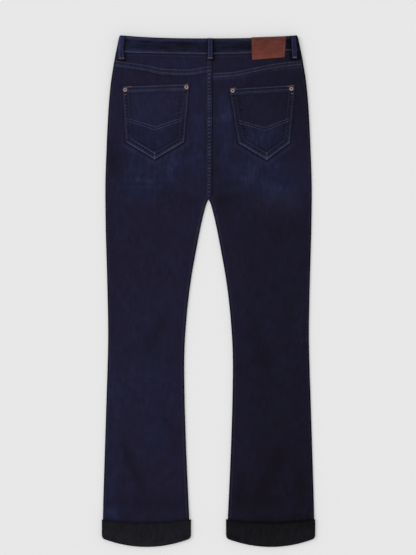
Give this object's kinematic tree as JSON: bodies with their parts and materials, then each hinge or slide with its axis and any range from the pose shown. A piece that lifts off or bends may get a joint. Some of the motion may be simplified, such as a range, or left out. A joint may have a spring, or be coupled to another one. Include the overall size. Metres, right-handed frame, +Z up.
{
  "type": "bootcut jeans, laid flat",
  "caption": "Dark stretch denim jeans laid flat with the back up: slim thigh, bootcut leg, turned-up hems, yoke, patch pockets, belt loops and leather patch.",
  "frame": {"origin": "middle of the jeans' box, on the surface that they lie on", "axes": "+Z up out of the back of the jeans, +Y towards the waist, +X towards the wearer's right-hand side"},
  "size_m": [0.4698, 1.126, 0.0133],
  "materials": {
    "denim": "dark indigo stretch twill, faded a little on the thighs and seat",
    "brushed_inside": "brushed charcoal inside of the denim",
    "leather": "plain brown leather",
    "copper": "worn silver and copper"
  },
  "bodies": {
    "root": {"back_left": "denim", "back_right": "denim", "yoke_left": "denim", "yoke_right": "denim", "front_left": "denim", "front_right": "denim", "pocket_facing_left": "denim", "pocket_facing_right": "denim", "fly_shield": "denim", "waistband_back": "denim", "waistband_front_left": "denim", "waistband_front_right": "denim", "belt_loop_centre": "denim", "belt_loop_back_left": "denim", "belt_loop_back_right": "denim", "belt_loop_front_left": "denim", "belt_loop_front_right": "denim", "back_pocket_left": "denim", "back_pocket_right": "denim", "cuff_left": "brushed_inside", "cuff_right": "brushed_inside", "leather_patch": "leather", "rivet_left_outer": "copper", "rivet_left_inner": "copper", "rivet_right_inner": "copper", "rivet_right_outer": "copper", "waist_button": "copper"}
  },
  "joints": []
}
